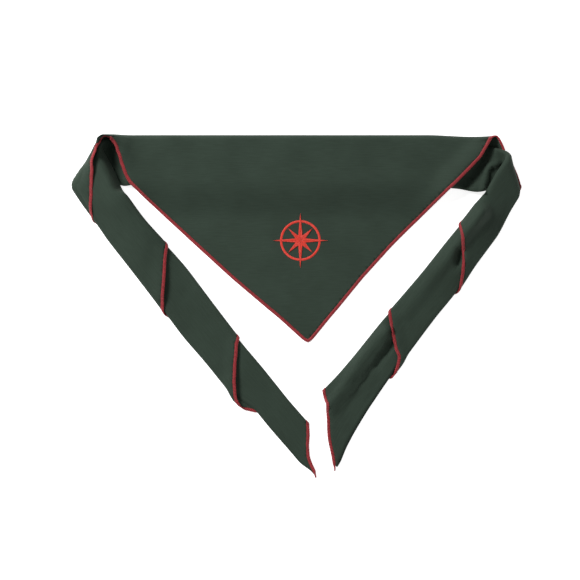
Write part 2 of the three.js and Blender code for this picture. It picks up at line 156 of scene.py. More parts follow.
# The cut edge of each short side: turns left there, and its share of the long side from the point
hem_line = {
    "left": [(0, 0.5234), (0.1, 0.5163), (0.3, 0.506), (0.5, 0.4982), (0.7, 0.4926), (1, 0.4825), (2, 0.4337),
             (2.2, 0.4197), (2.35, 0.4132), (2.5, 0.4066), (2.65, 0.4009), (2.8, 0.3944), (3, 0.389),
             (4, 0.3341), (4.2, 0.323), (4.35, 0.316), (4.5, 0.3089), (4.65, 0.3017), (4.8, 0.2954),
             (5, 0.2886), (6, 0.2345), (6.2, 0.2157), (6.35, 0.2078), (6.5, 0.2008), (6.65, 0.1972),
             (7, 0.1915), (7.3, 0.1393), (7.4, 0.1206), (7.55, 0.0921), (7.7, 0.0633), (7.85, 0.0323), (8, 0)],
    "right": [(0, 0.4766), (0.1, 0.4705), (0.3, 0.459), (0.5, 0.4454), (0.7, 0.4345), (1, 0.4268),
              (2, 0.3773), (2.15, 0.3682), (2.3, 0.3627), (2.5, 0.3558), (2.7, 0.3492), (2.85, 0.3442),
              (3, 0.339), (4, 0.2898), (4.15, 0.2779), (4.3, 0.2694), (4.5, 0.2606), (4.7, 0.2533),
              (4.85, 0.2488), (5, 0.2443), (6, 0.1829), (7, 0.1572), (7.1, 0.1455), (7.25, 0.1186),
              (7.4, 0.0942), (7.55, 0.0688), (7.7, 0.045), (7.85, 0.0235), (8, 0)],
}
# How far the edges of a tail stand in from the roll's full width: share along, outer, inner
tail_outline = {
    "left": [(-0.1, 0, 0), (0.02, 0.019, 0.02), (0.08, -0.015, 0.085), (0.16, -0.105, 0.23),
             (0.24, -0.165, 0.264), (0.32, -0.152, 0.202), (0.42, -0.146, 0.13), (0.52, -0.161, 0.133),
             (0.62, -0.102, 0.126), (0.72, -0.062, 0.076), (0.8, 0.148, 0.052), (0.88, 0.161, 0.03),
             (0.95, 0.182, 0.03), (1, 0.306, 0.03)],
    "right": [(-0.3, 0, 0), (-0.13, -0.1, 0), (-0.05, -0.15, 0.2), (0.02, -0.1, 0.404), (0.08, -0.092, 0.414),
              (0.16, -0.156, 0.473), (0.24, -0.265, 0.475), (0.32, -0.274, 0.453), (0.42, -0.329, 0.436),
              (0.52, -0.301, 0.386), (0.62, -0.306, 0.32), (0.72, -0.339, 0.292), (0.8, -0.38, 0.25),
              (0.88, -0.484, 0.2), (0.95, -0.579, 0.14), (1, -0.622, 0.1)],
}
# How far the hem has sprung from its even fold: turns left at that place, outward, upward, lift as
# shares of a turn's width, and how far into the cloth it reaches, in millimetres
loose_hem = {
    "left": [(1.7, 0, 0, 0, 12), (1.8, -0.1, -0.2, 0, 12), (1.9, -0.07, -0.18, 0, 12),
             (1.95, -0.04, -0.155, 0.02, 12), (2, 0, -0.13, 0.06, 12), (2.03, 0.04, -0.08, 0.08, 12),
             (2.08, 0.03, -0.05, 0.1, 12), (2.2, 0, 0, 0.1, 12), (2.5, 0, 0, 0.05, 12), (2.8, 0, 0, 0.03, 12),
             (2.95, 0, 0, 0, 12), (4.05, 0, 0, 0, 12), (4.2, 0, 0, 0.05, 12), (4.8, 0, 0, 0.04, 12),
             (4.95, 0, 0, 0, 12), (5.9, 0, 0, 0, 20), (6, -0.07, 0, 0.02, 20), (6.2, -0.23, 0, 0.09, 20),
             (6.35, -0.18, 0, 0.12, 16), (6.5, -0.09, 0, 0.15, 12), (6.6, 0.01, 0.1, 0.18, 12),
             (6.7, 0.06, 0.18, 0.2, 12), (6.8, 0.12, 0.23, 0.2, 12), (6.9, 0.1, 0.27, 0.26, 14),
             (7, -0.05, 0.27, 0.27, 30), (7.03, -0.2, 0.23, 0.25, 40), (7.06, -0.28, 0.22, 0.25, 44),
             (7.1, -0.38, 0.1, 0.2, 44), (7.15, -0.25, -0.02, 0.12, 44), (7.2, -0.1, -0.04, 0.06, 44),
             (7.25, -0.02, -0.02, 0.03, 44), (7.3, 0, 0, 0.01, 44), (7.35, 0, 0, 0, 44)],
    "right": [(0, 0.04, 0, 0, 14), (0.15, 0.05, 0, 0, 14), (0.4, 0.05, 0, 0, 14), (0.6, 0.02, 0, 0, 14),
              (0.8, -0.015, 0, 0, 14), (1, 0, 0, 0, 12), (1.87, 0, -0.08, 0, 12),
              (1.9, -0.04, -0.1, 0, 12), (1.95, -0.06, -0.1, 0, 12), (2, -0.03, -0.09, 0, 12),
              (2.03, 0, -0.06, 0.02, 12), (2.1, 0.04, -0.03, 0.05, 12), (2.15, 0.05, 0, 0.05, 12),
              (2.3, 0, 0, 0.05, 12), (2.8, 0, 0, 0.04, 12), (2.95, 0, 0, 0, 12), (4.05, 0, 0, 0, 12),
              (4.2, 0, 0, 0.04, 12), (4.8, 0, 0, 0.03, 12), (4.95, 0, 0, 0, 12), (5.9, 0, 0, 0, 15),
              (6.05, 0.03, 0, 0.02, 15), (6.35, 0.06, 0, 0.02, 15), (6.5, 0.02, 0, 0, 15),
              (6.6, -0.05, 0, 0, 15), (6.85, -0.05, 0, 0, 15), (6.95, 0, 0, 0, 15), (7.03, 0, 0, 0.05, 15),
              (7.1, 0, 0, 0.14, 20), (7.22, 0, 0, 0.15, 20), (7.32, 0, 0, 0.05, 15), (7.45, 0, 0, 0, 15)],
}
# A sprung hem may rise towards this height above the neck's middle, and slows over the room below it
loose_top = 28.5
loose_room = 14.8
# Where the whole stack of layers is drawn sideways: the place and the pull, in millimetres from the
# middle of the neck, and how far the pull reaches
stack_pulls = {
    "left": [((-240, -34), (-9.5, 7), 50), ((-247, -27), (-0.8, 0), 9), ((-229, 14), (3, 0), 18),
             ((-224, 22), (3.6, -2.6), 12), ((-195, -28), (0, -3), 16), ((1, -305), (3.6, 0), 60),
             ((0, -195), (0, -2.6), 50)],
    "right": [((226, -22), (2.2, 0), 36), ((202, 8), (1, 3), 25), ((168, 24), (0, -1.6), 42),
              ((180, -28), (0, -3), 24), ((20, -277), (-4.6, 0), 60), ((0, -195), (0, -2.6), 50),
              ((76, -197), (1.6, -1.2), 11), ((66, -210), (1.6, -1.2), 13), ((56, -224), (1.6, -1.2), 13),
              ((45, -242), (1.6, -1), 13)],
}
# Where the roll is pressed down or swollen: a line of places, the share of its height, half the width
roll_dents = {
    "left": [(((212, 10), (196, -26)), -0.7, 9)],
    "right": [(((88, -195), (79, -206), (71, -216)), -0.75, 5.5),
              (((64, -222), (50, -245), (41, -264)), -0.15, 5.5),
              (((82, -180), (70, -193), (56, -210), (41, -233), (32, -250), (25, -258)), 2.7, 9.5),
              (((86, -187), (77, -198), (62, -217), (47, -241), (39, -257), (28, -267)), 1.3, 4.5),
              (((181, -55), (168, -72), (145, -102), (118, -139), (102, -160)), 0.42, 13),
              (((159, -97), (158, -109)), -0.4, 6),
              (((187, 12), (174, -11), (165, -22)), -0.75, 12),
              (((183, -32), (188, -11), (192, -6), (199, -5)), 0.6, 4),
              (((192, 14), (204, 6)), 0.3, 6)],
}

fold_radius = [fold / 2 * layer_pitch for fold in range(turns + 1)]
turn_start = [0.0]
for fold in range(1, turns + 1):
    turn_start.append(turn_start[-1] + turn_width + math.pi * fold_radius[fold])
turn_end = [start + turn_width for start in turn_start[:-1]] + [turn_start[-1] + flap_drop]
cloth_height = turn_end[-1]
flap_top = neck_middle + (turns + 1) / 2 * layer_pitch
crossing = {side: np.interp(range(turns + 1), *zip(*rows)) * long_side for side, rows in hem_line.items()}


def ease(x):
    """A smooth step from 0 to 1."""
    x = np.clip(x, 0, 1)
    return x * x * (3 - 2 * x)


def mix(start, end, share):
    return start + (end - start) * share


# The hem's corners in the flat, from the tip to the point: distance along and height
fold_line = [0.0] + [(turn_end[k] + turn_start[k + 1]) / 2 for k in range(turns)] + [cloth_height]
hem_corners = {
    side: np.array([(share * long_side, np.interp(fold, range(turns + 2), fold_line)) for fold, share in rows])
    for side, rows in hem_line.items()}


def hem_height(side, along):
    """Height of the hem at a place along the band."""
    return np.interp(along, hem_corners[side][::-1, 0], hem_corners[side][::-1, 1])


def turns_left(side, along):
    """How many turns are left at a place along a tail, as a number that falls steadily."""
    return np.interp(along, crossing[side][::-1], np.arange(turns, -1, -1))


def nearest_hem(side, along, h):
    """The nearest place of the hem, as turns left there, and how far it is; 0 beyond the hem."""
    best = np.full(along.shape, math.inf)
    count = np.zeros(along.shape)
    line = hem_corners[side]
    folds = [fold for fold, _ in hem_line[side]]
    for fold_a, fold_b, (along_a, h_a), (along_b, h_b) in zip(folds, folds[1:], line, line[1:]):
        reach = np.array((along_b - along_a, h_b - h_a))
        share = np.clip(((along - along_a) * reach[0] + (h - h_a) * reach[1]) / (reach @ reach), 0, 1)
        gap = np.hypot(along - along_a - share * reach[0], h - h_a - share * reach[1])
        nearer = gap < best
        best = np.where(nearer, gap, best)
        count = np.where(nearer, mix(fold_a, fold_b, share), count)
    return count, np.where(h > hem_height(side, along), 0, best)


def smooth_table(rows, at):
    """Each column of a table, on a smooth curve through its rows that never overshoots them."""
    rows = np.array(rows, float)
    keys, values = rows[:, 0], rows[:, 1:]
    steps = np.diff(values, axis=0) / np.diff(keys)[:, None]
    slopes = np.zeros_like(values)
    rising = steps[:-1] * steps[1:] > 0
    slopes[1:-1][rising] = (2 * steps[:-1] * steps[1:])[rising] / (steps[:-1] + steps[1:])[rising]
    row = np.clip(np.searchsorted(keys, at), 1, len(rows) - 1)
    width = (keys[row] - keys[row - 1])[:, None]
    t = np.clip((at - keys[row - 1])[:, None] / width, 0, 1)
    curve = ((1 + 2 * t) * (1 - t) ** 2 * values[row - 1] + t * (1 - t) ** 2 * width * slopes[row - 1]
             + t * t * (3 - 2 * t) * values[row] - t * t * (1 - t) * width * slopes[row])
    return curve.T


def roll_section(h):
    """Cross-section of the roll: across is towards the top fold, front towards the first turn's face."""
    across = np.zeros_like(h)
    front = np.zeros_like(h)
    for turn in range(turns + 1):
        sign = 1 if turn % 2 == 0 else -1
        level = turn / 2 * layer_pitch if sign == 1 else -(turn + 1) / 2 * layer_pitch
        here = h >= turn_start[turn] if turn else np.ones_like(h, bool)
        run = h - turn_start[turn] - turn_width / 2
        across = np.where(here, sign * run, across)
        front = np.where(here, level, front)
        if turn < turns:
            here = h > turn_end[turn]
            radius = fold_radius[turn + 1]
            angle = (h - turn_end[turn]) / radius
            centre = -layer_pitch / 2 if sign == 1 else 0
            across = np.where(here, sign * (turn_width / 2 + radius * np.sin(angle)), across)
            front = np.where(here, centre + sign * radius * np.cos(angle), front)
    return across, front


def line_distance(line, x, y):
    """How far places are from a line of straight parts."""
    away = np.full(x.shape, math.inf)
    for (start_x, start_y), (end_x, end_y) in zip(line, line[1:]):
        run_x, run_y = end_x - start_x, end_y - start_y
        share = np.clip(((x - start_x) * run_x + (y - start_y) * run_y) / (run_x ** 2 + run_y ** 2), 0, 1)
        away = np.minimum(away, np.hypot(x - start_x - share * run_x, y - start_y - share * run_y))
    return away


def fold_side(side, along, h):
    """Folds flat places of one half of the cloth to where they lie."""
    corner = corners[side]
    lean = math.radians(corner["lean"])
    radius = corner["radius"]
    beyond = along - corner["bend_start"]
    square, front = roll_section(h)
    near_bend = ease(1 - np.abs(beyond - math.pi * radius / 2) / bend_reach)
    edge = np.clip(square / turn_width + 0.5, 0, 1)
    pressed = 1 - near_bend * (1 - mix(corner["press"], corner["press_top"], edge))
    tail_share = beyond / (crossing[side][0] - corner["bend_start"])
    outer, inner = smooth_table(tail_outline[side], tail_share) * turn_width
    last_turn = np.clip((h - turn_end[turns - 2]) / (turn_start[turns - 1] - turn_end[turns - 2]), 0, 1)
    shift = mix(outer, -inner * (1 - last_turn), edge)
    across = np.clip(square, -turn_width / 2, turn_width / 2)
    across = across + (square - across) * pressed + shift
    front = front * pressed
    wrap = radius * mix(corner["sharp"], 1, edge)
    depth = beyond * math.cos(lean) + across * math.sin(lean)
    run = -beyond * math.sin(lean) + across * math.cos(lean)
    is_flap = h > turn_start[turns]
    rise = corner_rise * ease((beyond + turn_width) / turn_width)
    middle = neck_middle + rise
    flap_z = mix(flap_top, flap_rest, ease((h - turn_start[turns] - turn_width) / flap_slope)) + rise
    z = np.where(is_flap, flap_z, middle - front)
    level = np.where(is_flap, z - middle, -front)
    angle = np.minimum(depth / radius, math.pi)
    bent = depth > 0
    reach = np.where(bent, (wrap - level) * np.sin(angle), depth)
    z = np.where(bent, middle + wrap - (wrap - level) * np.cos(angle), z)
    past = depth - math.pi * radius
    rest = layer_pitch * (turns_left(side, along) + 1) / 2 + flap_rest
    centre = mix(middle + 2 * wrap, rest, ease(past / corner["descent"]))
    reach = np.where(past > 0, -past, reach)
    z = np.where(past > 0, centre + front, z)
    top_layers = np.clip((z - middle) / (2 * layer_pitch), 0, 1)
    z = z + roll_dome * (1 - (2 * edge - 1) ** 2) * top_layers * ease(past / turn_width)
    x = corner["bend_start"] + reach * math.cos(lean) - run * math.sin(lean)
    y = reach * math.sin(lean) + run * math.cos(lean)
    for line, share, width in roll_dents[side]:
        z = np.where(is_flap, z, z * (1 + share * ease(1 - line_distance(line, x, y) / width)))
    fold, distance = nearest_hem(side, along, h)
    outward, upward, lift, reach = smooth_table(loose_hem[side], fold)
    strength = ease(1 - distance / reach) * turn_width
    upward = upward * np.clip((loose_top - y) / loose_room, 0, 1)
    return np.stack((x + outward * strength, y + upward * strength, z + lift * strength), -1)


def soft_waves(x, y, length, seed):
    """Smooth unevenness, mostly from -1 to 1, made of a few plane waves about that long."""
    rng = np.random.default_rng(seed)
    waves, usual_most = 7, 4
    angles = rng.uniform(0, math.pi, waves)
    stretches = rng.uniform(0.7, 1.5, waves)
    starts = rng.uniform(0, 6.3, waves)
    total = 0
    for angle, stretch, start in zip(angles, stretches, starts):
        onward = x * math.cos(angle) + y * math.sin(angle)
        total = total + np.sin(onward * 2 * math.pi / (length * stretch) + start)
    return total / usual_most


wave_height = 0.09
wave_length = 70
wave_seed = 3


def draw_stack(side, at):
    """Draws the whole stack of layers sideways, here and there."""
    for place, pull, reach in stack_pulls[side]:
        away = np.hypot(at[:, 0] - place[0], at[:, 1] - place[1])
        at[:, :2] += ease(1 - away / reach)[:, None] * pull
    return at


def fold_cloth(s, h):
    """Folds flat places, in millimetres, to where they lie, in millimetres in the CAD's frame."""
    s = np.asarray(s, float)
    h = np.asarray(h, float)
    left = draw_stack("left", fold_side("left", np.abs(s), h) * (-1, 1, 1))
    right = draw_stack("right", fold_side("right", np.abs(s), h))
    at = np.where((s < 0)[:, None], left, right)
    at[:, :2] += fold_origin[:2]
    at[:, 2] *= 1 + wave_height * soft_waves(at[:, 0], at[:, 1], wave_length, wave_seed)
    return at


def square_to(s, h):
    """Unit vectors square to the cloth; on the flap they point down."""
    step = 0.02
    along_s = fold_cloth(s + step, h) - fold_cloth(s - step, h)
    along_h = fold_cloth(s, h + step) - fold_cloth(s, h - step)
    square = np.cross(along_s, along_h)
    return square / np.linalg.norm(square, axis=1)[:, None]


cloth_thickness = 0.6
neck_step = 4.0
tail_step = 3.0
turn_steps = 12
fold_step = 1.3
flap_step = 3.0
hem_tuck = 1.4


def evenly(start, end, step):
    """Places between two ends, about a step apart, without the first end."""
    return list(np.linspace(start, end, max(2, round((end - start) / step) + 1))[1:])


row_heights = [0.0]
for turn in range(turns):
    row_heights += evenly(turn_start[turn], turn_end[turn], turn_width / turn_steps)
    row_heights += evenly(turn_end[turn], turn_start[turn + 1], fold_step)
row_heights += evenly(turn_start[turns], turn_start[turns] + turn_width, turn_width / turn_steps)
row_heights += evenly(turn_start[turns] + turn_width, cloth_height, flap_step)
row_heights = np.array(row_heights)


def column_places(side):
    """Places of the cloth's columns along one half, close together on the tails."""
    stops = sorted([0, corners[side]["bend_start"] - turn_width, *crossing[side]])
    places = [0.0]
    for start, end in zip(stops, stops[1:]):
        step = neck_step if end <= corners[side]["bend_start"] - turn_width else tail_step
        places += evenly(start, end, step)
    return np.array(places)


flat_corners = []
known_corner = {}
flat_faces = []


def flat_corner(s, h):
    """The number of the corner at a flat place, which faces side by side share."""
    key = (round(s, 3), round(h, 3))
    if key not in known_corner:
        known_corner[key] = len(flat_corners)
        flat_corners.append((s, h))
    return known_corner[key]


def lay_face(sign, half_corners):
    """Adds a face of one half of the cloth; on the left half its corners run the other way round."""
    turned = half_corners if sign > 0 else half_corners[::-1]
    flat_faces.append([flat_corner(sign * s, h) for s, h in turned])


def heights_up_to(top):
    """The rows of a column below its top, and the top itself."""
    margin = 0.5
    return [*row_heights[row_heights < top - margin], *([top] if top > margin else [])] or [0.0]


for side, sign in (("left", -1), ("right", 1)):
    places = column_places(side)
    tops = hem_height(side, places) + hem_tuck
    for i in range(1, len(places)):
        near, far = heights_up_to(tops[i - 1]), heights_up_to(tops[i])
        shared = min(len(near), len(far))
        while shared > 1 and near[shared - 1] != far[shared - 1]:
            shared -= 1
        for j in range(1, shared):
            lay_face(sign, [(places[i - 1], near[j - 1]), (places[i], far[j - 1]),
                            (places[i], far[j]), (places[i - 1], near[j])])
        a, b = shared - 1, shared - 1
        while a < len(near) - 1 or b < len(far) - 1:
            next_a = near[a + 1] if a + 1 < len(near) else math.inf
            next_b = far[b + 1] if b + 1 < len(far) else math.inf
            corner_a, corner_b = (places[i - 1], near[a]), (places[i], far[b])
            if next_b <= next_a:
                b += 1
                face = [corner_a, corner_b, (places[i], far[b])]
            else:
                a += 1
                face = [corner_a, corner_b, (places[i - 1], near[a])]
            lay_face(sign, face)

flat = np.array(flat_corners)
middle_surface = fold_cloth(flat[:, 0], flat[:, 1])
squares = square_to(flat[:, 0], flat[:, 1])
count = len(flat)
half_wall = squares * cloth_thickness / 2
points = np.concatenate((middle_surface - half_wall, middle_surface + half_wall))
rim = {}
for face in flat_faces:
    for a, b in zip(face, face[1:] + face[:1]):
        if (b, a) in rim:
            del rim[(b, a)]
        else:
            rim[(a, b)] = True
faces = [face[::-1] for face in flat_faces] + [[count + v for v in face] for face in flat_faces]
faces += [[a, b, count + b, count + a] for a, b in rim]
cloth_mesh = bpy.data.meshes.new("neckerchief_cloth")
cloth_mesh.from_pydata(points * MM, [], faces)
cloth_mesh.shade_smooth()
flat_map = cloth_mesh.uv_layers.new(name="flat_cloth")
corner_vertex = np.zeros(len(cloth_mesh.loops), np.int32)
cloth_mesh.loops.foreach_get("vertex_index", corner_vertex)
flat_map.data.foreach_set("uv", (flat[corner_vertex % count] * MM).astype(np.float32).ravel())
cloth = bpy.data.objects.new("neckerchief_cloth", cloth_mesh)
scene.collection.objects.link(cloth)

# Cotton blend in plain weave, dyed in the piece: matt and a little hairy, with slubs along one thread
# direction and cloudy dye. The threads are drawn at about a real pitch.
thread_pitch = 0.42 * MM
wave_bands = 3.3
slubs_per_metre = (60, 900, 1)
clouds_per_metre = 26.0
cotton = bpy.data.materials.new("dark_green_plain_weave_cotton")
cotton.use_nodes = True
tree = cotton.node_tree
shader = tree.nodes["Principled BSDF"]
shader.inputs["Roughness"].default_value = 0.86
shader.inputs["Specular IOR Level"].default_value = 0.3
shader.inputs["Sheen Weight"].default_value = 0.12
shader.inputs["Sheen Roughness"].default_value = 0.5
shader.inputs["Sheen Tint"].default_value = linear("#A9B8A8")
flat_place = add_node(tree, "ShaderNodeUVMap", uv_map="flat_cloth").outputs["UV"]
warp, weft = [
    add_node(tree, "ShaderNodeTexWave", [("Vector", flat_place)], bands_direction=direction,
             Scale=1 / thread_pitch / wave_bands, Distortion=0.6, Detail=1.0, Detail_Scale=0.6)
    for direction in ("X", "Y")]
weave = add_node(tree, "ShaderNodeMath", [(0, warp.outputs["Fac"]), (1, weft.outputs["Fac"])],
                 operation="MAXIMUM")
slub_map = add_node(tree, "ShaderNodeMapping", [("Vector", flat_place)], Scale=slubs_per_metre)
slubs = add_node(tree, "ShaderNodeTexNoise", [("Vector", slub_map.outputs["Vector"])], Scale=1.0, Detail=2.0)
clouds = add_node(tree, "ShaderNodeTexNoise", [("Vector", flat_place)], Scale=clouds_per_metre, Detail=3.0)
mottle = add_node(tree, "ShaderNodeMath", [(0, slubs.outputs["Fac"]), (1, clouds.outputs["Fac"])],
                  operation="ADD")
shade = add_node(tree, "ShaderNodeMapRange", [("Value", mottle.outputs["Value"])],
                 From_Min=0.6, From_Max=1.4)
tint = add_node(tree, "ShaderNodeMix", [("Factor", shade.outputs["Result"])], data_type="RGBA")
tint.inputs["A"].default_value = linear("#202D23")
tint.inputs["B"].default_value = linear("#2A382E")
gap_tint = add_node(tree, "ShaderNodeMapRange", [("Value", weave.outputs["Value"])], To_Min=0.8, To_Max=1.0)
woven = add_node(tree, "ShaderNodeVectorMath",
                 [(0, tint.outputs["Result"]), ("Scale", gap_tint.outputs["Result"])], operation="SCALE")
tree.links.new(woven.outputs["Vector"], shader.inputs["Base Color"])
weave_bump = add_node(tree, "ShaderNodeBump", [("Height", weave.outputs["Value"])],
                      Strength=0.35, Distance=0.08 * MM)
slub_bump = add_node(tree, "ShaderNodeBump",
                     [("Height", slubs.outputs["Fac"]), ("Normal", weave_bump.outputs["Normal"])],
                     Strength=0.3, Distance=0.1 * MM)
tree.links.new(slub_bump.outputs["Normal"], shader.inputs["Normal"])
cloth_mesh.materials.append(cotton)

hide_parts("cloth")
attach(cloth, "root")


# Thread laid by Geometry Nodes
# Sewn thread repeats one short stitch: each point of a guide mesh carries the stitch's direction,
# the outward direction and its size, and the node group lays a copy there with a little unevenness.
def stitch_group():
    """The node group that lays stitches on the points of a guide mesh."""
    group = bpy.data.node_groups.new("lay_stitches", "GeometryNodeTree")
    face = group.interface
    face.new_socket("Geometry", in_out="INPUT", socket_type="NodeSocketGeometry")
    face.new_socket("Stitch", in_out="INPUT", socket_type="NodeSocketObject")
    face.new_socket("Unevenness", in_out="INPUT", socket_type="NodeSocketFloat")
    face.new_socket("Seed", in_out="INPUT", socket_type="NodeSocketInt")
    face.new_socket("Material", in_out="INPUT", socket_type="NodeSocketMaterial")
    face.new_socket("Geometry", in_out="OUTPUT", socket_type="NodeSocketGeometry")
    given = group.nodes.new("NodeGroupInput").outputs
    stitch = add_node(group, "GeometryNodeObjectInfo", [("Object", given["Stitch"])])
    kept = [add_node(group, "GeometryNodeInputNamedAttribute", data_type="FLOAT_VECTOR", Name=name)
            for name in ("heading", "outward", "size")]
    heading, outward, size = [node.outputs["Attribute"] for node in kept]
    turn = add_node(group, "FunctionNodeAxesToRotation",
                    [("Primary Axis", outward), ("Secondary Axis", heading)],
                    primary_axis="Z", secondary_axis="X")
    least = add_node(group, "ShaderNodeMath", operation="SUBTRACT")
    least.inputs[0].default_value = 1
    group.links.new(given["Unevenness"], least.inputs[1])
    uneven = group.nodes.new("FunctionNodeRandomValue")
    uneven.data_type = "FLOAT"
    floats = [socket for socket in uneven.inputs if socket.type == "VALUE"]
    group.links.new(least.outputs["Value"], floats[0])
    floats[1].default_value = 1
    group.links.new(given["Seed"], uneven.inputs["Seed"])
    value = [socket for socket in uneven.outputs if socket.type == "VALUE"][0]
    scaled = add_node(group, "ShaderNodeVectorMath", [(0, size), ("Scale", value)], operation="SCALE")
    laid = add_node(group, "GeometryNodeInstanceOnPoints",
                    [("Points", given["Geometry"]), ("Instance", stitch.outputs["Geometry"]),
                     ("Rotation", turn.outputs["Rotation"]), ("Scale", scaled.outputs["Vector"])])
    real = add_node(group, "GeometryNodeRealizeInstances", [("Geometry", laid.outputs["Instances"])])
    painted = add_node(group, "GeometryNodeSetMaterial",
                       [("Geometry", real.outputs["Geometry"]), ("Material", given["Material"])])
    leaves = group.nodes.new("NodeGroupOutput")
    group.links.new(painted.outputs["Geometry"], leaves.inputs["Geometry"])
    return group


lay_stitches = stitch_group()


def sew(name, places, heading, outward, size, stitch_mesh, material, unevenness, seed):
    """The mesh of one stitch laid at every place, in millimetres."""
    guide_mesh = bpy.data.meshes.new(name)
    guide_mesh.from_pydata(np.asarray(places) * MM, [], [])
    for label, values in (("heading", heading), ("outward", outward), ("size", size)):
        layer = guide_mesh.attributes.new(label, "FLOAT_VECTOR", "POINT")
        layer.data.foreach_set("vector", np.asarray(values, np.float32).ravel())
    guide = bpy.data.objects.new(name, guide_mesh)
    stitch = bpy.data.objects.new(name + "_stitch", stitch_mesh)
    scene.collection.objects.link(guide)
    scene.collection.objects.link(stitch)
    modifier = guide.modifiers.new("stitches", "NODES")
    modifier.node_group = lay_stitches
    sockets = lay_stitches.interface.items_tree
    given = {socket.name: socket.identifier for socket in sockets if socket.in_out == "INPUT"}
    modifier[given["Stitch"]] = stitch
    modifier[given["Unevenness"]] = unevenness
    modifier[given["Seed"]] = seed
    modifier[given["Material"]] = material
    graph = bpy.context.evaluated_depsgraph_get()
    sewn = bpy.data.meshes.new_from_object(guide.evaluated_get(graph), depsgraph=graph)
    bpy.data.objects.remove(guide)
    bpy.data.objects.remove(stitch)
    return sewn


def join_meshes(name, meshes):
    """One mesh of several, smooth shaded and without materials; the caller gives it one."""
    verts, faces = [], []
    for mesh in meshes:
        start = sum(len(v) for v in verts)
        co = np.zeros(len(mesh.vertices) * 3, np.float32)
        mesh.vertices.foreach_get("co", co)
        verts.append(co.reshape(-1, 3))
        faces += [[start + v for v in polygon.vertices] for polygon in mesh.polygons]
    joined = bpy.data.meshes.new(name)
    joined.from_pydata(np.concatenate(verts), [], faces)
    joined.shade_smooth()
    return joined


def thread_material(name, dark, light, roughness, fibre):
    """Twisted polyester thread: a soft gloss, fine fibres and a little change of shade."""
    patches_per_metre = 260.0
    material = bpy.data.materials.new(name)
    material.use_nodes = True
    tree = material.node_tree
    shader = tree.nodes["Principled BSDF"]
    shader.inputs["Roughness"].default_value = roughness
    shader.inputs["Specular IOR Level"].default_value = 0.4
    shader.inputs["Sheen Weight"].default_value = 0.15
    shader.inputs["Sheen Roughness"].default_value = 0.4
    place = add_node(tree, "ShaderNodeTexCoord").outputs["Object"]
    patches = add_node(tree, "ShaderNodeTexNoise", [("Vector", place)], Scale=patches_per_metre, Detail=2.0)
    tint = add_node(tree, "ShaderNodeMix", [("Factor", patches.outputs["Fac"])], data_type="RGBA")
    tint.inputs["A"].default_value = linear(dark)
    tint.inputs["B"].default_value = linear(light)
    tree.links.new(tint.outputs["Result"], shader.inputs["Base Color"])
    fibres = add_node(tree, "ShaderNodeTexNoise", [("Vector", place)], Scale=1 / fibre, Detail=3.0)
    bump = add_node(tree, "ShaderNodeBump", [("Height", fibres.outputs["Fac"])],
                    Strength=0.5, Distance=0.06 * MM)
    tree.links.new(bump.outputs["Normal"], shader.inputs["Normal"])
    return material


def tube_sides(rings, sides, closed=False):
    """Side faces of a tube of equal rings of corners; a closed one runs back into its first ring."""
    quads = []
    for i in range(rings if closed else rings - 1):
        here = i * sides
        there = (i + 1) % rings * sides
        for k in range(sides):
            after = (k + 1) % sides
            quads.append([here + k, here + after, there + after, there + k])
    return quads


def tube_ends(rings, sides):
    """End faces of an open tube."""
    last = (rings - 1) * sides
    return [list(range(sides))[::-1], [last + k for k in range(sides)]]


# Edging
# Red overlock thread wraps both short sides: a padded bead with slanting stitches side by side,
# and a short tail of thread left past each tip of the cloth.
edging_width = 3.5
edging_thickness = 1.6
edging_gap = 0.3
thread_tail = 4
tail_taper = 3
tail_fullness = 0.6
station_step = 1.6
# The bead's half width and half thickness as shares of the edging's, and the room that the stitches
# round it need above the surface, as a share of the edging's width and thickness
bead_half_width = 0.44
bead_half_thickness = 0.42
bead_room = 0.62
bead_sides = 10
# One stitch is a ring round the bead: its slant and half width are in millimetres, its swell and
# insets in shares of the edging's half width and half thickness
stitch_pitch = 1.35
stitch_slant = 0.35
stitch_half_width = 0.62
stitch_swell = 0.34
stitch_inset_out = 0.18
stitch_inset_up = 0.12
ring_steps = 14
ring_sides = 5


def hem_stations(step):
    """Flat places along the hem from the left tip round the point to the right tip, one every step."""
    line = []
    for side, sign in (("left", -1), ("right", 1)):
        half = [(sign * along, h) for along, h in hem_corners[side][:-1]]
        tip, onward = np.array(half[0]), np.array(half[1])
        half.insert(0, tuple(tip + (tip - onward) / np.linalg.norm(tip - onward) * thread_tail))
        line += half if sign < 0 else [(0.0, cloth_height), *half[::-1]]
    line = np.array(line)
    lengths = np.r_[0, np.cumsum(np.linalg.norm(np.diff(line, axis=0), axis=1))]
    at = np.linspace(0, lengths[-1], round(lengths[-1] / step) + 1)
    return np.stack((np.interp(at, lengths, line[:, 0]), np.interp(at, lengths, line[:, 1])), -1)


def smooth_run(values, reach):
    """A running mean along a path, with its ends kept."""
    padded = np.concatenate((np.repeat(values[:1], reach, 0), values, np.repeat(values[-1:], reach, 0)))
    kernel = np.ones(2 * reach + 1) / (2 * reach + 1)
    return np.stack([np.convolve(padded[:, k], kernel, "valid") for k in range(values.shape[1])], -1)


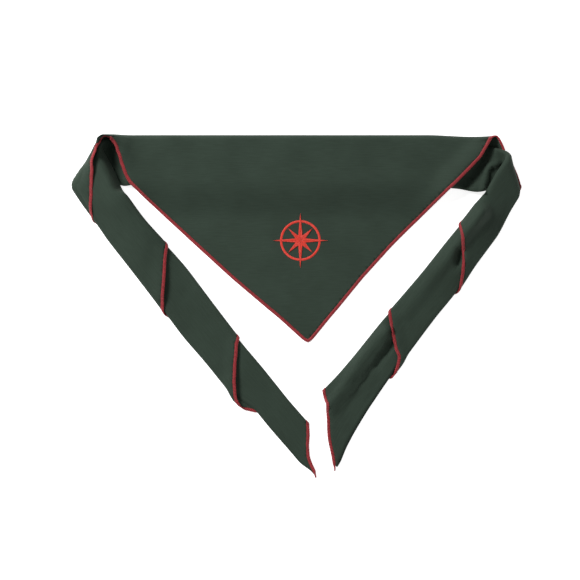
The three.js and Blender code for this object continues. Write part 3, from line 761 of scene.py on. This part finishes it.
def edging_axes(step):
    """Middle of the bead along the hem, with its outward, face and onward directions."""
    flat_line = hem_stations(step)
    heading = np.gradient(flat_line, axis=0)
    heading = smooth_run(heading / np.linalg.norm(heading, axis=1)[:, None], reach=2)
    out_flat = np.stack((-heading[:, 1], heading[:, 0]), -1)
    spots = flat_line + out_flat * (edging_gap + edging_width / 2)
    middle = fold_cloth(spots[:, 0], spots[:, 1])
    face = square_to(spots[:, 0], spots[:, 1])
    onward = np.gradient(middle, axis=0)
    onward /= np.linalg.norm(onward, axis=1)[:, None]
    outward = np.cross(face, onward)
    outward /= np.linalg.norm(outward, axis=1)[:, None]
    inner = fold_cloth(flat_line[:, 0], flat_line[:, 1])
    outward *= np.sign(((middle - inner) * outward).sum(1))[:, None]
    lowest = (edging_width * np.abs(outward[:, 2]) + edging_thickness * np.abs(face[:, 2])) * bead_room
    middle[:, 2] = np.maximum(middle[:, 2], lowest)
    return middle, outward, face, onward


def edging_fullness(count, step, start):
    """Share of the full size at each place; the thread tails past both tips of the cloth are thinner."""
    share = np.interp(np.arange(count) * step, [0, thread_tail, thread_tail + tail_taper],
                      [start, tail_fullness, 1])
    return np.minimum(share, share[::-1])


middle, outward, face, onward = edging_axes(station_step)
fullness = edging_fullness(len(middle), station_step, 0.45)
turn = np.arange(bead_sides) * 2 * math.pi / bead_sides
bead = middle[:, None] + fullness[:, None, None] * (
    outward[:, None] * (np.cos(turn) * edging_width * bead_half_width)[None, :, None]
    + face[:, None] * (np.sin(turn) * edging_thickness * bead_half_thickness)[None, :, None])
bead_faces = tube_sides(len(middle), bead_sides) + tube_ends(len(middle), bead_sides)
bead_mesh = bpy.data.meshes.new("edging_bead")
bead_mesh.from_pydata(bead.reshape(-1, 3) * MM, [], bead_faces)

ring_verts = []
for i in range(ring_steps):
    around = i * 2 * math.pi / ring_steps
    for k in range(ring_sides):
        about = k * 2 * math.pi / ring_sides
        swell = 1 + stitch_swell * math.cos(about)
        ring_verts.append((stitch_half_width * math.sin(about) + stitch_slant * math.cos(around),
                           math.cos(around) * (swell - stitch_inset_out),
                           math.sin(around) * (swell - stitch_inset_up)))
ring_faces = [quad[::-1] for quad in tube_sides(ring_steps, ring_sides, closed=True)]
wrap_mesh = bpy.data.meshes.new("edging_wrap")
wrap_mesh.from_pydata(ring_verts, [], ring_faces)

# Twisted red thread of texturised polyester, wound: soft, slightly glossy, with a visible fibre
red_thread = thread_material("red_overlock_thread", "#73161C", "#992229", roughness=0.6, fibre=0.16 * MM)
middle, outward, face, onward = edging_axes(stitch_pitch)
fullness = edging_fullness(len(middle), stitch_pitch, 0.5)
wrap_size = fullness[:, None] * np.array((1.0, edging_width / 2, edging_thickness / 2)) * MM
wraps = sew("edging_wraps", middle, onward, face, wrap_size, wrap_mesh, red_thread,
            unevenness=0.06, seed=11)
edging_mesh = join_meshes("overlocked_edging", [bead_mesh, wraps])
edging_mesh.materials.append(red_thread)
edging = bpy.data.objects.new("overlocked_edging", edging_mesh)
scene.collection.objects.link(edging)
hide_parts("edging")
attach(edging, "root")

# Compass rose
# An embroidered eight-point compass rose in orange-red satin stitch: every point has two halves
# whose threads meet on its spine, and a narrow ring of short threads lies under the points.
rose_across = 58
rose_points = 8
rose_short_point = 0.62
rose_hollow = 0.2
rose_ring = 0.74
rose_ring_width = 2.4
rose_left = 8
rose_below = 105
rose_lift = 0.55
# The points' threads lie this much above the ring's, and the ring's lean by this angle
point_lift = 0.35
ring_lean = 0.02
satin_pitch = 0.42
satin_width = 0.62
satin_height = 0.5
satin_overrun = 0.25
# The flat base under the stitches: its corners as shares of the points', then the inset of its ring
# and its lift in millimetres
base_hollow_share = 0.94
base_tip_share = 0.96
base_ring_inset = 0.3
base_lift = 0.05
rose_half = rose_across / 2


def rose_spot(radius, angle):
    """A place on the rose, at an angle from the upward point."""
    return np.array((radius * math.sin(angle), radius * math.cos(angle)))


threads = []
base_patches = []
ring_outer = rose_half * rose_ring
ring_inner = ring_outer - rose_ring_width
ring_count = round(2 * math.pi * (ring_outer + ring_inner) / 2 / satin_pitch)
for i in range(ring_count):
    angle = i * 2 * math.pi / ring_count
    threads.append((rose_spot(ring_inner, angle), rose_spot(ring_outer, angle + ring_lean), 0.0))
for i in range(rose_points):
    angle = i * 2 * math.pi / rose_points
    tip = rose_spot(rose_half * (1 if i % 2 == 0 else rose_short_point), angle)
    for side in (-1, 1):
        hollow = rose_spot(rose_half * rose_hollow, angle + side * math.pi / rose_points)
        width = abs(tip[0] * hollow[1] - tip[1] * hollow[0]) / np.linalg.norm(hollow)
        rows = round(width / satin_pitch)
        for row in range(rows):
            share = (row + 0.5) / rows
            threads.append((tip * share, mix(hollow, tip, share), point_lift))
        base_patches.append((hollow * base_hollow_share, tip * base_tip_share))


def on_flap(spots, lift):
    """Places on the front of the flap, that far above its middle surface, with the outward direction."""
    spots = np.asarray(spots)
    s = spots[:, 0] - rose_left
    h = turn_start[turns] + rose_below - spots[:, 1]
    outward = -square_to(s, h)
    return fold_cloth(s, h) + outward * np.asarray(lift)[:, None], outward


starts = np.array([thread[0] for thread in threads])
ends = np.array([thread[1] for thread in threads])
lifts = np.array([thread[2] for thread in threads]) + rose_lift
from_places, _ = on_flap(starts, lifts)
to_places, _ = on_flap(ends, lifts)
laid_at, laid_out = on_flap((starts + ends) / 2, lifts)
laid_along = to_places - from_places
laid_length = np.linalg.norm(laid_along, axis=1)

# One satin stitch is an arched thread of unit length, thinner where its ends go into the cloth
arch_steps, arch_sides = 6, 6
arch_rise = 0.7
arch_half_height = 0.4
arch_end_girth = 0.35
arch_verts = []
for i in range(arch_steps + 1):
    share = i / arch_steps
    arch = math.sin(math.pi * share) ** 0.5
    girth = mix(arch_end_girth, 1, arch)
    for k in range(arch_sides):
        about = k * 2 * math.pi / arch_sides
        height = arch * arch_rise + arch_half_height * girth * math.sin(about) - arch_half_height
        arch_verts.append((share - 0.5, 0.5 * girth * math.cos(about), height))
# The sides of this thread face inwards and its ends outwards, which hardly shows in the render
arch_faces = [quad[::-1] for quad in tube_sides(arch_steps + 1, arch_sides)]
arch_faces += tube_ends(arch_steps + 1, arch_sides)
satin_mesh = bpy.data.meshes.new("satin_stitch")
satin_mesh.from_pydata(arch_verts, [], arch_faces)

# Twisted orange-red thread of filament polyester, laid side by side: glossier than the edging's
orange_thread = thread_material("orange_red_satin_stitch", "#B6281B", "#D63926",
                                roughness=0.5, fibre=0.12 * MM)
satin_size = np.ones((len(threads), 3)) * (1, satin_width, satin_height)
satin_size[:, 0] = laid_length + satin_overrun
satin = sew("rose_threads", laid_at, laid_along / laid_length[:, None], laid_out, satin_size * MM, satin_mesh,
            orange_thread, unevenness=0.05, seed=23)

base_rows = 6
base_verts, base_faces = [], []
for hollow, tip in base_patches:
    start = len(base_verts)
    for row in range(base_rows + 1):
        share = row / base_rows
        base_verts += [tip * share, mix(hollow, tip, share)]
    base_faces += [[start + 2 * row + k for k in (0, 1, 3, 2)] for row in range(base_rows)]
ring_rows = 72
ring_first = len(base_verts)
for i in range(ring_rows):
    angle = i * 2 * math.pi / ring_rows
    base_verts += [rose_spot(radius, angle)
                   for radius in (ring_inner + base_ring_inset, ring_outer - base_ring_inset)]
    base_faces.append([ring_first + (2 * i + k) % (2 * ring_rows) for k in (0, 1, 3, 2)])
base_at, _ = on_flap(base_verts, np.full(len(base_verts), rose_lift + base_lift))
base_mesh = bpy.data.meshes.new("rose_underlay")
base_mesh.from_pydata(base_at * MM, [], base_faces)

rose_mesh = join_meshes("compass_rose_embroidery", [base_mesh, satin])
rose_mesh.materials.append(orange_thread)
rose = bpy.data.objects.new("compass_rose_embroidery", rose_mesh)
scene.collection.objects.link(rose)
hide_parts("compass_rose")
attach(rose, "root")
